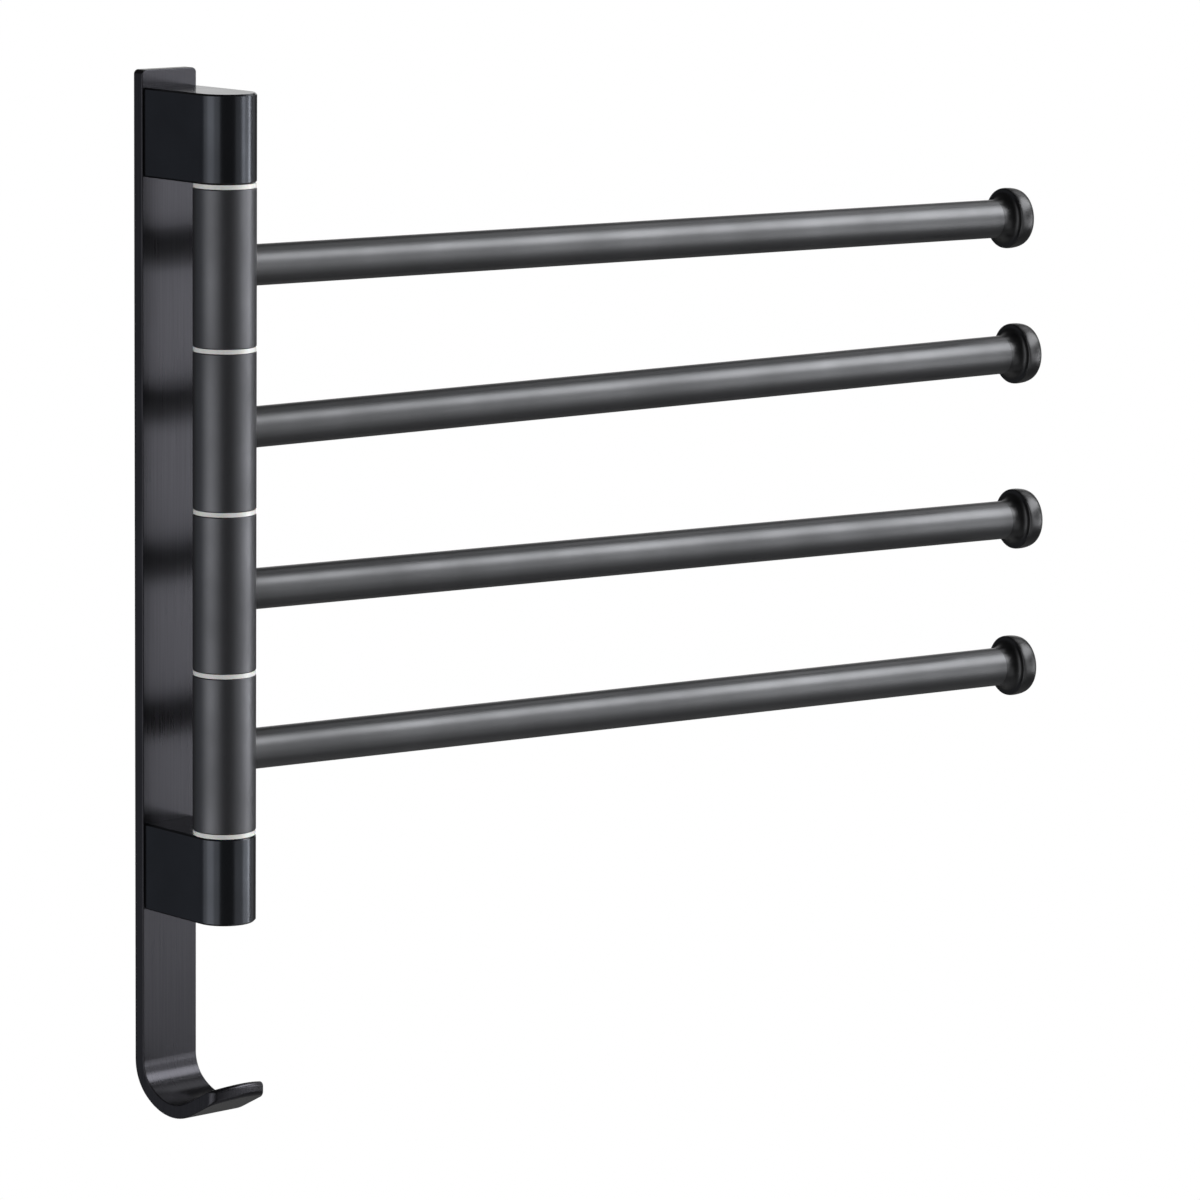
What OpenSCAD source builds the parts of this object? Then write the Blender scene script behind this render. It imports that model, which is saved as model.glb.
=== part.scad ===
// Swing arm towel bar: a wall strip that ends in a robe hook, two brackets,
// and four towel arms that swing round one upright rod between the brackets.
// Frame: x to the right, y into the wall, z up. The origin lies on the wall,
// midway between the two wall screws.

/* [Wall strip] */
// Width of the strip
plate_w = 21.5; // [20:0.5:28]
// Thickness of the strip
plate_t = 4.4; // [4:0.1:6]
// Strip standing above the upper bracket
plate_above = 5.5; // [3:0.5:15]
// Strip between the lower bracket and the hook
plate_below = 49.4; // [20:0.1:90]
// Corner radius at the strip's top
corner_r = 1.6; // [0.5:0.1:4]

/* [Robe hook] */
// Inside radius of the bend off the wall
root_r = 10; // [3:0.5:12]
// Angle of the bend off the wall, degrees
root_turn = 51; // [30:1:60]
// Inside radius of the bowl
bowl_r = 17.2; // [14:0.2:30]
// Rise of the tip, degrees
tip_rise = 28; // [10:1:50]
// Straight length of the tip
tip_len = 14.2; // [6:0.2:20]
// Corner radius at the tip
tip_corner_r = 2.6; // [0.5:0.1:4]

/* [Brackets] */
// Height of each bracket
bracket_h = 28; // [24:0.1:36]
// Strip face to the pivot axis
bracket_reach = 28; // [22:0.5:40]
// Bevel round the bracket's two flat faces
bracket_bevel = 0.6; // [0.2:0.1:1]
// Distance between the two screws of a bracket
bracket_screw_pitch = 14; // [11:0.5:15]

/* [Pivot] */
// Diameter of the arm barrels and the round front of the brackets
barrel_d = 20; // [18:0.5:24]
// Length of one barrel
barrel_len = 49.8; // [48:0.1:70]
// Bevel at the barrel's two ends
barrel_bevel = 0.35; // [0.1:0.05:0.8]
// Thickness of the washers between the barrels
washer_t = 1.4; // [0.8:0.1:2.5]
// Diameter of the pivot rod
rod_d = 8; // [6:0.5:9]
// Wall of the bushes
bush_wall = 2; // [1:0.1:2.5]
// Length of one bush
bush_len = 12; // [8:0.5:16]

/* [Arms] */
// Pivot axis to the outer face of the end cap
arm_len = 316; // [200:1:400]
// Diameter of the bar
bar_d = 13; // [11:0.5:15]
// Wall of the bar
bar_wall = 1.2; // [0.8:0.1:1.6]
// Diameter of the end cap
cap_d = 20.6; // [18:0.2:28]
// Thickness of the end cap
cap_t = 6; // [3:0.1:7]
// Rounding of the end cap's rim
cap_edge = 1.2; // [0.4:0.1:1.4]
// Swing of each arm away from the wall at rest, degrees, from the top arm down
rest_swing = [6.9, 8, 8.5, 8.2]; // [0:0.1:90]
// Rise of each bar above level, degrees, from the top arm down
bar_rise = [0, 1, 0, 0]; // [0:0.1:1.5]

/* [Wall fixing] */
// Distance between the two wall screws
wall_screw_pitch = 150; // [120:1:158]
// Hole for a wall screw
wall_screw_d = 4.5; // [4:0.1:5]
// Width of the wall clip at its front, where it is widest
clip_w = 13; // [12:0.5:15]
// Thickness of the wall clip
clip_t = 2.4; // [2.3:0.1:2.8]
// Height of the wall clip
clip_h = 16; // [12:0.5:18]

/* [Hidden] */
$fn = 96;

// Fits
running_gap = 0.05;
seat_gap = 0.1;
cut_over = 1;

// Pivot rod and its head
head_d = 12.6;
head_h = 5;
head_recess = 0.6;
head_clear = 0.3;
rod_hex = 5;
rod_hex_depth = 3;
rod_bevel = 0.6;
rod_grip = 18;
rod_end_gap = 0.8;

// Washers stand a little inside the barrels
washer_inset = 0.15;

// Stud that holds a bar to its barrel
stud_d = 6;
stud_plug_len = 16;
stud_plug_gap = 0.3;

// End cap
cap_spigot_len = 10;
cap_collar_h = 1.5;
cap_collar_len = 3;

// Screws that hold the brackets to the strip
screw_d = 4;
screw_head_d = 8;
screw_head_sink = 0.2;
screw_cone_h = (screw_head_d - screw_d) / 2;
screw_grip = 9;
screw_bore_spare = 1.5;
screw_hex = 2.5;
screw_hex_depth = 1.4;

// Wall clips, their slots and the screw that locks the strip on them
clip_flare = 1.5;
clip_sink_d = 8.4;
pocket_spare = 0.6;
lock_d = 2.5;
lock_recess = 0.3;
lock_hex = 1.3;
lock_hex_depth = 1.2;

// Pivot axis and the stack along it
axis_y = -(plate_t + bracket_reach);
arm_count = 4;
arm_pitch = barrel_len + washer_t;
stack_h = arm_count * arm_pitch + washer_t;
stack_top = stack_h / 2;
plate_top = stack_top + bracket_h + plate_above;
hook_start = -stack_top - bracket_h - plate_below;
strip_len = plate_top - hook_start;
bracket_mid = stack_top + bracket_h / 2;

// Height of an arm's centre, and of a washer's underside
function arm_z(i) = ((arm_count - 1) / 2 - i) * arm_pitch;
function washer_z(i) = stack_top - washer_t - i * arm_pitch;

// Radii round the pivot
barrel_r = barrel_d / 2;
rod_r = rod_d / 2;
rod_bore_r = rod_r + running_gap;
bush_r = rod_bore_r + bush_wall;
washer_r = barrel_r - washer_inset;

// Radii and lengths along a bar
bar_r = bar_d / 2;
bar_bore_r = bar_r - bar_wall;
bar_end = arm_len - cap_t;
stud_start = bush_r + seat_gap;
plug_start = barrel_r + stud_plug_gap;

// Centres of the hook's root bend and of its bowl, set so that the two arcs run on
root_y = -(plate_t + root_r);
bowl_y = root_y - (bowl_r - root_r) * cos(root_turn);
bowl_z = hook_start + (bowl_r - root_r) * sin(root_turn);
bowl_end = 90 + tip_rise;
hook_foot = bowl_z - bowl_r - plate_t;
bend_step = 2.5;

// Slots in the back of the strip
slot_depth = clip_t + seat_gap;
slot_w = clip_w + 2 * seat_gap;

// Lock screw in the strip's right-hand edge
lock_inner = slot_w / 2;
lock_outer = plate_w / 2 - lock_recess;

ink = "#1b1c1f";
graphite = "#45464b";
steel = "#b9bcc0";
nylon = "#eceae4";

// A plain ring standing on z = 0
module ring(outer_r, inner_r, h) {
    difference() {
        cylinder(h = h, r = outer_r);
        translate([0, 0, -cut_over])
            cylinder(h = h + 2 * cut_over, r = inner_r);
    }
}

// A hexagon key socket that opens at z = 0 and goes down
module key_socket(across, depth) {
    translate([0, 0, -depth])
        cylinder(h = depth + cut_over, d = across / cos(30), $fn = 6);
}

// Stands a piece on the wall with its z axis pointing forward, for work done from the wall side
module from_wall(z) {
    translate([0, 0, z])
        rotate([90, 0, 0])
            children();
}

// Puts an arm's piece on the pivot axis at its height and swing
module at_arm(i) {
    translate([0, axis_y, arm_z(i)])
        rotate([0, 0, -rest_swing[i]])
            children();
}

// Lies a piece drawn along z on the bar's line
module along_bar(i) {
    rotate([0, -bar_rise[i], 0])
        rotate([0, 90, 0])
            children();
}

// Outline of the strip's end, from the x axis up, with its two upper corners rounded
module strip_outline(len, r) {
    translate([-plate_w / 2, 0])
        square([plate_w, len - r]);
    translate([-plate_w / 2 + r, 0])
        square([plate_w - 2 * r, len]);
    for (side = [-1, 1])
        translate([side * (plate_w / 2 - r), len - r])
            circle(r = r);
}

// Side view of the hook as [y, z] points, with angles counted from +y down
function at_angle(y, z, r, a) = [y + r * cos(a), z - r * sin(a)];
function bend(y, z, r, from, to, first) =
    let (steps = ceil(abs(to - from) / bend_step))
    [for (k = [first:steps]) at_angle(y, z, r, from + (to - from) * k / steps)];
function tip_point(r) =
    at_angle(bowl_y, bowl_z, r, bowl_end) - tip_len * [sin(bowl_end), cos(bowl_end)];
hook_outline = concat(
    bend(root_y, hook_start, root_r, 0, root_turn, 0),
    bend(bowl_y, bowl_z, bowl_r, root_turn, bowl_end, 1),
    [tip_point(bowl_r), tip_point(bowl_r + plate_t)],
    bend(bowl_y, bowl_z, bowl_r + plate_t, bowl_end, root_turn, 0),
    bend(root_y, hook_start, root_r + plate_t, root_turn, 0, 1)
);
tip_reach = -tip_point(bowl_r + plate_t)[0];

// Bent end of the strip, with its two front corners rounded as seen from above
module hook() {
    intersection() {
        translate([-plate_w / 2, 0, 0])
            rotate([90, 0, 90])
                linear_extrude(plate_w)
                    polygon(hook_outline);
        translate([0, 0, hook_foot - cut_over])
            mirror([0, 1, 0])
                linear_extrude(bowl_z + tip_len - hook_foot + cut_over)
                    strip_outline(tip_reach, tip_corner_r);
    }
}

// Outline of a clip, narrow at the wall, grown by gap on each flank
module clip_outline(gap, depth) {
    polygon([
        [-clip_w / 2 + clip_flare - gap, cut_over],
        [-clip_w / 2 + clip_flare - gap, 0],
        [-clip_w / 2 - gap, -depth],
        [clip_w / 2 + gap, -depth],
        [clip_w / 2 - clip_flare + gap, 0],
        [clip_w / 2 - clip_flare + gap, cut_over]
    ]);
}

// Undercut slot that grips a clip, and the open pocket under it that lets the clip in
module clip_slot(z) {
    translate([0, 0, z - clip_h / 2 - pocket_spare])
        linear_extrude(clip_h + pocket_spare)
            clip_outline(seat_gap, slot_depth);
    translate([-slot_w / 2, -slot_depth, z - 1.5 * clip_h - 2 * pocket_spare])
        cube([slot_w, slot_depth + cut_over, clip_h + 1.5 * pocket_spare]);
}

// Through hole and countersink for a bracket screw, cut from the back of the strip
module screw_hole() {
    translate([0, 0, -cut_over])
        cylinder(h = plate_t + 2 * cut_over, r = screw_d / 2 + seat_gap);
    translate([0, 0, screw_head_sink])
        cylinder(h = screw_cone_h, d1 = screw_head_d + 2 * seat_gap, d2 = screw_d + 2 * seat_gap);
    translate([0, 0, -cut_over])
        cylinder(h = cut_over + screw_head_sink, r = screw_head_d / 2 + seat_gap);
}

// Heights of a bracket's two screws
function screw_heights(side) = [for (s = [-0.5, 0.5]) side * bracket_mid + s * bracket_screw_pitch];

module back_plate() {
    color(graphite)
        difference() {
            union() {
                translate([0, 0, hook_start])
                    rotate([90, 0, 0])
                        linear_extrude(plate_t)
                            strip_outline(strip_len, corner_r);
                hook();
            }
            for (side = [-1, 1]) {
                clip_slot(side * wall_screw_pitch / 2);
                for (z = screw_heights(side))
                    from_wall(z)
                        screw_hole();
            }
            translate([lock_inner - clip_flare, -plate_t / 2, wall_screw_pitch / 2])
                rotate([0, 90, 0])
                    cylinder(h = plate_w, d = lock_d);
        }
}

// Hanger screwed to the wall, countersunk on its front
module wall_clip(z) {
    sink_h = (clip_sink_d - wall_screw_d) / 2;
    color(steel)
        difference() {
            translate([0, 0, z - clip_h / 2])
                linear_extrude(clip_h)
                    intersection() {
                        clip_outline(0, clip_t);
                        translate([-clip_w, -clip_t])
                            square([2 * clip_w, clip_t]);
                    }
            from_wall(z)
                translate([0, 0, -cut_over])
                    cylinder(h = clip_t + 2 * cut_over, d = wall_screw_d);
            from_wall(z)
                translate([0, 0, clip_t - sink_h])
                    cylinder(h = sink_h, d1 = wall_screw_d, d2 = clip_sink_d);
        }
}

module clip_lock_screw() {
    color(steel)
        translate([lock_outer, -plate_t / 2, wall_screw_pitch / 2])
            rotate([0, 90, 0])
                difference() {
                    translate([0, 0, lock_inner - lock_outer])
                        cylinder(h = lock_outer - lock_inner, d = lock_d - 2 * running_gap);
                    key_socket(lock_hex, lock_hex_depth);
                }
}

// Square block with a round front, from z = 0 up, bevelled at both flat faces
module bracket_block() {
    r = barrel_r;
    b = bracket_bevel;
    h = bracket_h;
    rotate_extrude()
        polygon([[0, 0], [r - b, 0], [r, b], [r, h - b], [r - b, h], [0, h]]);
    rotate([-90, 0, 0])
        mirror([0, 1, 0])
            linear_extrude(bracket_reach)
                polygon([
                    [-r + b, 0], [r - b, 0], [r, b], [r, h - b],
                    [r - b, h], [-r + b, h], [-r, h - b], [-r, b]
                ]);
}

// Tapped holes in a bracket's back for its two screws
module bracket_taps() {
    for (s = [-0.5, 0.5])
        translate([0, bracket_reach, bracket_h / 2 + s * bracket_screw_pitch])
            rotate([90, 0, 0])
                translate([0, 0, -cut_over])
                    cylinder(h = cut_over + screw_grip + screw_bore_spare, r = screw_d / 2 + running_gap);
}

module upper_bracket() {
    color(ink)
        translate([0, axis_y, stack_top])
            difference() {
                bracket_block();
                bracket_taps();
                translate([0, 0, -cut_over])
                    cylinder(h = cut_over + rod_grip, r = rod_bore_r);
            }
}

module lower_bracket() {
    color(ink)
        translate([0, axis_y, -stack_top - bracket_h])
            difference() {
                bracket_block();
                bracket_taps();
                translate([0, 0, -cut_over])
                    cylinder(h = bracket_h + 2 * cut_over, r = rod_bore_r);
                translate([0, 0, -cut_over])
                    cylinder(h = cut_over + head_recess + head_h, r = head_d / 2 + head_clear);
            }
}

// Two countersunk screws, driven from the back of the strip into a bracket
module bracket_screws(side) {
    color(steel)
        for (z = screw_heights(side))
            from_wall(z)
                translate([0, 0, screw_head_sink])
                    difference() {
                        union() {
                            cylinder(h = screw_cone_h, d1 = screw_head_d, d2 = screw_d);
                            cylinder(h = plate_t + screw_grip - screw_head_sink, d = screw_d);
                        }
                        rotate([180, 0, 0])
                            key_socket(screw_hex, screw_hex_depth);
                    }
}

module pivot_rod() {
    seat_z = -stack_top - bracket_h + head_recess + head_h;
    rod_len = stack_top + rod_grip - rod_end_gap - seat_z;
    color(steel)
        translate([0, axis_y, seat_z]) {
            cylinder(h = rod_len - rod_bevel, r = rod_r);
            translate([0, 0, rod_len - rod_bevel])
                cylinder(h = rod_bevel, r1 = rod_r, r2 = rod_r - rod_bevel);
            difference() {
                translate([0, 0, -head_h])
                    cylinder(h = head_h, d = head_d);
                translate([0, 0, -head_h])
                    rotate([180, 0, 0])
                        key_socket(rod_hex, rod_hex_depth);
            }
        }
}

module washer(i) {
    color(nylon)
        translate([0, axis_y, washer_z(i)])
            ring(washer_r, rod_bore_r, washer_t);
}

module barrel(i) {
    r = barrel_r;
    b = barrel_bevel;
    half = barrel_len / 2;
    color(ink)
        at_arm(i)
            difference() {
                rotate_extrude()
                    polygon([
                        [bush_r, -half], [r - b, -half], [r, -half + b],
                        [r, half - b], [r - b, half], [bush_r, half]
                    ]);
                along_bar(i)
                    cylinder(h = barrel_d, d = stud_d);
            }
}

// Sleeve at the top (side 1) or the foot (side -1) of a barrel
module bush(i, side) {
    color(nylon)
        at_arm(i)
            translate([0, 0, side * (barrel_len - bush_len) / 2 - bush_len / 2])
                ring(bush_r, rod_bore_r, bush_len);
}

// Tube, cut at its root to sit on the round barrel
module bar(i) {
    color(ink)
        at_arm(i)
            difference() {
                along_bar(i)
                    ring(bar_r, bar_bore_r, bar_end);
                translate([0, 0, -bar_d])
                    cylinder(h = 2 * bar_d, r = barrel_r);
            }
}

// Plug in the bar's root with a stud that screws into the barrel's wall
module bar_stud(i) {
    color(steel)
        at_arm(i)
            along_bar(i) {
                translate([0, 0, stud_start])
                    cylinder(h = plug_start - stud_start, d = stud_d);
                translate([0, 0, plug_start])
                    cylinder(h = stud_plug_len, r = bar_bore_r);
            }
}

// Half section of the cap's disc, with round rims
module cap_section() {
    r = cap_d / 2;
    square([r - cap_edge, cap_t]);
    translate([0, cap_edge])
        square([r, cap_t - 2 * cap_edge]);
    for (y = [cap_edge, cap_t - cap_edge])
        translate([r - cap_edge, y])
            circle(r = cap_edge, $fn = 32);
}

// Disc with a spigot inside the bar and a small cone collar round the bar's end
module end_cap(i) {
    color(ink)
        at_arm(i)
            along_bar(i)
                translate([0, 0, bar_end]) {
                    rotate_extrude()
                        cap_section();
                    translate([0, 0, -cap_spigot_len])
                        cylinder(h = cap_spigot_len, r = bar_bore_r);
                    difference() {
                        translate([0, 0, -cap_collar_len])
                            cylinder(h = cap_collar_len, r1 = bar_r + seat_gap, r2 = bar_r + cap_collar_h);
                        translate([0, 0, -cap_collar_len - cut_over])
                            cylinder(h = cap_collar_len + cut_over, r = bar_r);
                    }
                }
}

back_plate();
wall_clip(wall_screw_pitch / 2);  // upper_wall_clip
wall_clip(-wall_screw_pitch / 2);  // lower_wall_clip
clip_lock_screw();
upper_bracket();
lower_bracket();
bracket_screws(1);  // upper_bracket_screws
bracket_screws(-1);  // lower_bracket_screws
pivot_rod();
washer(0);  // washer_1
washer(1);  // washer_2
washer(2);  // washer_3
washer(3);  // washer_4
washer(4);  // washer_5
barrel(0);  // barrel_1
barrel(1);  // barrel_2
barrel(2);  // barrel_3
barrel(3);  // barrel_4
bush(0, 1);  // upper_bush_1
bush(1, 1);  // upper_bush_2
bush(2, 1);  // upper_bush_3
bush(3, 1);  // upper_bush_4
bush(0, -1);  // lower_bush_1
bush(1, -1);  // lower_bush_2
bush(2, -1);  // lower_bush_3
bush(3, -1);  // lower_bush_4
bar(0);  // bar_1
bar(1);  // bar_2
bar(2);  // bar_3
bar(3);  // bar_4
bar_stud(0);  // bar_stud_1
bar_stud(1);  // bar_stud_2
bar_stud(2);  // bar_stud_3
bar_stud(3);  // bar_stud_4
end_cap(0);  // end_cap_1
end_cap(1);  // end_cap_2
end_cap(2);  // end_cap_3
end_cap(3);  // end_cap_4
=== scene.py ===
"""Looks of the swing arm towel bar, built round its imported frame.

Lengths are in metres in the frame's own axes: x to the right, y into the wall, z up.
"""
import logging
import math
from dataclasses import dataclass, field
from enum import Enum

import bmesh
import bpy
from mathutils import Matrix, Vector


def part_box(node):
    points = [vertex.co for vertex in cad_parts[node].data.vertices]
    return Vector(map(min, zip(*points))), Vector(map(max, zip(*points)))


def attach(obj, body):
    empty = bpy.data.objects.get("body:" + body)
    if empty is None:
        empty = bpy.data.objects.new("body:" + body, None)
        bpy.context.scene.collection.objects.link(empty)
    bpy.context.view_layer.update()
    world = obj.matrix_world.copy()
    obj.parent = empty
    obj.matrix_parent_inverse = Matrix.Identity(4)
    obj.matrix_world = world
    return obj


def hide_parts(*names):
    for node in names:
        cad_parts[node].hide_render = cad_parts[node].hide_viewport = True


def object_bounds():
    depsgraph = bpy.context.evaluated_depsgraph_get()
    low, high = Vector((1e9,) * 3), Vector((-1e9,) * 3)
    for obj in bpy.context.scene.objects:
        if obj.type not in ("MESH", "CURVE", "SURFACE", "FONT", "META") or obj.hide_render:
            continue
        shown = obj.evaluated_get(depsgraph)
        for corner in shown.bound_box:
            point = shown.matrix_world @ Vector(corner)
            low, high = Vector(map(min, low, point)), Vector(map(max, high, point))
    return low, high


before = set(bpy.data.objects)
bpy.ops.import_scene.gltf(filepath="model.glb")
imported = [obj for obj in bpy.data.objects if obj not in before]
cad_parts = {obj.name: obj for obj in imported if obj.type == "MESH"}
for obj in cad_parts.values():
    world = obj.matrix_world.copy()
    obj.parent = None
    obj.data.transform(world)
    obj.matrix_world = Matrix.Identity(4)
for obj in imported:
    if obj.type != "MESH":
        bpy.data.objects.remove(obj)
CAD_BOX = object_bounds()

MM = 0.001
RIGHT, INWARD, UP = Vector((1, 0, 0)), Vector((0, 1, 0)), Vector((0, 0, 1))
ARMS = (1, 2, 3, 4)
WASHERS = (1, 2, 3, 4, 5)
log = logging.getLogger("towel_bar")

# A line whose z is past this counts as upright.
STEEP = 0.9
# Degrees between two faces, from which their edge stays sharp.
SHARP_ANGLE = 35.0
# Where a noise counts as low and as high.
NOISE_RANGE = (0.3, 0.7)
# Agreement of the rounded and the true normal where a surface is flat, and on its edge.
EDGE_RANGE = (0.995, 0.85)
EDGE_SAMPLES = 4
# Finer layers of each kind of noise, and the strength of those in lines.
CLOUD_DETAIL, GRAIN_DETAIL, LINE_DETAIL = 3.0, 2.0, 3.0
LINE_ROUGHNESS = 0.6

Colour = tuple[float, float, float]
Point = tuple[float, float]
Place = Vector | tuple[float, float, float]


class Slot(Enum):
    """Names of the record's material slots for the new pieces; nothing in this script reads them.
    """

    STRIP = "brushed_black"
    CAP = "cap_black"


@dataclass(frozen=True)
class Axis:
    """A line that a turned or drawn pattern follows."""

    centre: Vector
    direction: Vector

    def across(self) -> tuple[Vector, Vector]:
        """Finds two directions square to the line and to each other.

        Returns:
            The two unit vectors.
        """
        helper = UP if abs(self.direction.z) < STEEP else INWARD
        first = self.direction.cross(helper).normalized()
        return first, self.direction.cross(first).normalized()


class Board:
    """Lays out shader nodes in one tree."""

    def __init__(self, tree: bpy.types.NodeTree) -> None:
        """Starts on a tree.

        Args:
            tree: Node tree of a material or of the world.
        """
        self.tree = tree

    def node(self, kind: str, **settings: object) -> bpy.types.Node:
        """Adds a node.

        Args:
            kind: Blender's name for the node's type.
            settings: Properties set on the node.

        Returns:
            The new node.
        """
        made = self.tree.nodes.new(kind)
        for key, value in settings.items():
            setattr(made, key, value)
        return made

    def feed(self, socket: bpy.types.NodeSocket, value: object) -> None:
        """Links an output to a socket, or sets the socket to a plain value.

        Args:
            socket: The input socket.
            value: An output socket, a number or a vector.
        """
        if isinstance(value, bpy.types.NodeSocket):
            self.tree.links.new(value, socket)
        else:
            socket.default_value = value

    def fill(self, made: bpy.types.Node, *values: object) -> bpy.types.Node:
        """Feeds a node's inputs in order.

        Args:
            made: The node.
            values: An output socket, a number or a vector for each input.

        Returns:
            The same node.
        """
        for socket, value in zip(made.inputs, values):
            self.feed(socket, value)
        return made

    def math(self, operation: str, *values: object) -> bpy.types.NodeSocket:
        """Adds a math node.

        Args:
            operation: Name of the operation.
            values: Its inputs in order.

        Returns:
            The result.
        """
        return self.fill(self.node("ShaderNodeMath", operation=operation), *values).outputs[0]

    def vector(self, operation: str, *values: object) -> bpy.types.Node:
        """Adds a vector math node.

        Args:
            operation: Name of the operation.
            values: Its inputs in order.

        Returns:
            The node, whose result is Vector or Value.
        """
        return self.fill(self.node("ShaderNodeVectorMath", operation=operation), *values)

    def joined(self, *parts: object) -> bpy.types.NodeSocket:
        """Joins numbers into a vector.

        Args:
            parts: Its x, y and z in order, of which the last may be left out.

        Returns:
            The vector.
        """
        return self.fill(self.node("ShaderNodeCombineXYZ"), *parts).outputs[0]

    def ramp(self, *values: object, **settings: object) -> bpy.types.NodeSocket:
        """Carries a number from one range over to another.

        Args:
            values: The number, the low and high end of its range, and what they become.
            settings: Properties set on the node.

        Returns:
            The new number.
        """
        return self.fill(self.node("ShaderNodeMapRange", **settings), *values).outputs[0]

    def mix(self, share: object, first: object, second: object) -> bpy.types.NodeSocket:
        """Mixes two numbers.

        Args:
            share: Share of the second number.
            first: Number or socket at share 0.
            second: Number or socket at share 1.

        Returns:
            The mixed number.
        """
        made = self.node("ShaderNodeMix", data_type="FLOAT")
        for k, value in ((0, share), (2, first), (3, second)):
            self.feed(made.inputs[k], value)
        return made.outputs[0]

    def blend(self, share: object, first: object, second: object) -> bpy.types.NodeSocket:
        """Mixes two colours.

        Args:
            share: Share of the second colour.
            first: Colour or socket at share 0.
            second: Colour or socket at share 1.

        Returns:
            The mixed colour.
        """
        made = self.node("ShaderNodeMix", data_type="RGBA")
        self.feed(made.inputs[0], share)
        for k, value in ((6, first), (7, second)):
            plain = not isinstance(value, bpy.types.NodeSocket)
            self.feed(made.inputs[k], (*value, 1.0) if plain else value)
        return made.outputs[2]


class Bench(Board):
    """Lays out the shader nodes of one material."""

    def __init__(self, name: str) -> None:
        """Makes a material with one main shader.

        Args:
            name: Name of the material.
        """
        self.material = bpy.data.materials.new(name)
        self.material.use_nodes = True
        super().__init__(self.material.node_tree)
        self.shader = self.tree.nodes["Principled BSDF"]
        self.place = self.node("ShaderNodeTexCoord").outputs["Object"]

    def shade(self, name: str, value: object) -> None:
        """Feeds one of the shader's own sockets.

        Args:
            name: Name of the socket.
            value: An output socket, a number or a colour.
        """
        self.feed(self.shader.inputs[name], value)

    def noise(self, at: bpy.types.NodeSocket, detail: float,
              rough: float = 0.5) -> bpy.types.NodeSocket:
        """Adds a noise of one unit's size.

        Args:
            at: Where it is read, already scaled.
            detail: Number of finer layers.
            rough: Strength of the finer layers.

        Returns:
            The noise, from 0 to 1.
        """
        made = self.node("ShaderNodeTexNoise")
        settings = (("Vector", at), ("Scale", 1.0), ("Detail", detail), ("Roughness", rough))
        for name, value in settings:
            self.feed(made.inputs[name], value)
        return made.outputs["Fac"]

    def cloud(self, size: float, detail: float = CLOUD_DETAIL) -> bpy.types.NodeSocket:
        """Adds an even noise over the piece.

        Args:
            size: Size of its largest blotches.
            detail: Number of finer layers.

        Returns:
            The noise, from 0 to 1.
        """
        at = self.vector("SCALE", self.place)
        self.feed(at.inputs["Scale"], 1 / size)
        return self.noise(at.outputs["Vector"], detail)

    def spread(self, value: object, low: float, high: float) -> bpy.types.NodeSocket:
        """Stretches the middle of a noise over a range.

        Args:
            value: The noise.
            low: Result where the noise is low.
            high: Result where the noise is high.

        Returns:
            The stretched value.
        """
        return self.ramp(value, *NOISE_RANGE, low, high)

    def paint(self, pattern: object, first: Colour, second: Colour) -> None:
        """Colours the piece in two tones.

        Args:
            pattern: The noise that they follow.
            first: Colour where it is low.
            second: Colour where it is high.
        """
        self.shade("Base Color", self.blend(self.spread(pattern, 0.0, 1.0), first, second))

    def roughen(self, pattern: object, middle: float, swing: float) -> None:
        """Lets the gloss vary a little over the piece.

        Args:
            pattern: The noise that it follows.
            middle: Its mean roughness.
            swing: How far the roughness goes to either side.
        """
        self.shade("Roughness", self.spread(pattern, middle - swing, middle + swing))

    def edges(self, width: float) -> bpy.types.NodeSocket:
        """Finds the outer edges of the piece.

        Args:
            width: How far from the edge the mask reaches.

        Returns:
            A mask, 1 on the edge and 0 away from it.
        """
        soft = self.node("ShaderNodeBevel", samples=EDGE_SAMPLES)
        self.feed(soft.inputs["Radius"], width)
        true = self.node("ShaderNodeNewGeometry").outputs["Normal"]
        same = self.vector("DOT_PRODUCT", soft.outputs["Normal"], true).outputs["Value"]
        return self.ramp(same, *EDGE_RANGE, 0.0, 1.0)

    def bump(self, height: object, depth: float, below: object = None) -> bpy.types.NodeSocket:
        """Adds a relief to the surface.

        Args:
            height: The relief, from 0 to 1.
            depth: Its depth.
            below: A coarser relief that this one lies on.

        Returns:
            The shading normal.
        """
        made = self.node("ShaderNodeBump")
        for name, value in (("Strength", 1.0), ("Distance", depth), ("Height", height)):
            self.feed(made.inputs[name], value)
        if below is not None:
            self.feed(made.inputs["Normal"], below)
        return made.outputs["Normal"]

    def turned(self, axis: Axis, pitch: float) -> bpy.types.NodeSocket:
        """Adds the rings that a lathe leaves round an axis.

        Args:
            axis: The line that the rings go round.
            pitch: Distance between rings.

        Returns:
            The relief, from 0 to 1.
        """
        arm = self.vector("SUBTRACT", self.place, axis.centre).outputs["Vector"]
        out = self.vector("CROSS_PRODUCT", arm, axis.direction).outputs["Vector"]
        radius = self.vector("LENGTH", out).outputs["Value"]
        along = self.vector("DOT_PRODUCT", arm, axis.direction).outputs["Value"]
        scaled = (self.math("DIVIDE", part, pitch) for part in (radius, along))
        return self.noise(self.joined(*scaled), GRAIN_DETAIL)

    def drawn(self, axis: Axis, pitch: float, run: float) -> bpy.types.NodeSocket:
        """Adds fine lines that run along an axis.

        Args:
            axis: The line that they follow.
            pitch: Distance between lines.
            run: Length of a line.

        Returns:
            The relief, from 0 to 1.
        """
        parts = []
        for way, size in zip((*axis.across(), axis.direction), (pitch, pitch, run)):
            place = self.vector("DOT_PRODUCT", self.place, way).outputs["Value"]
            parts.append(self.math("DIVIDE", place, size))
        return self.noise(self.joined(*parts), LINE_DETAIL, LINE_ROUGHNESS)


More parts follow.
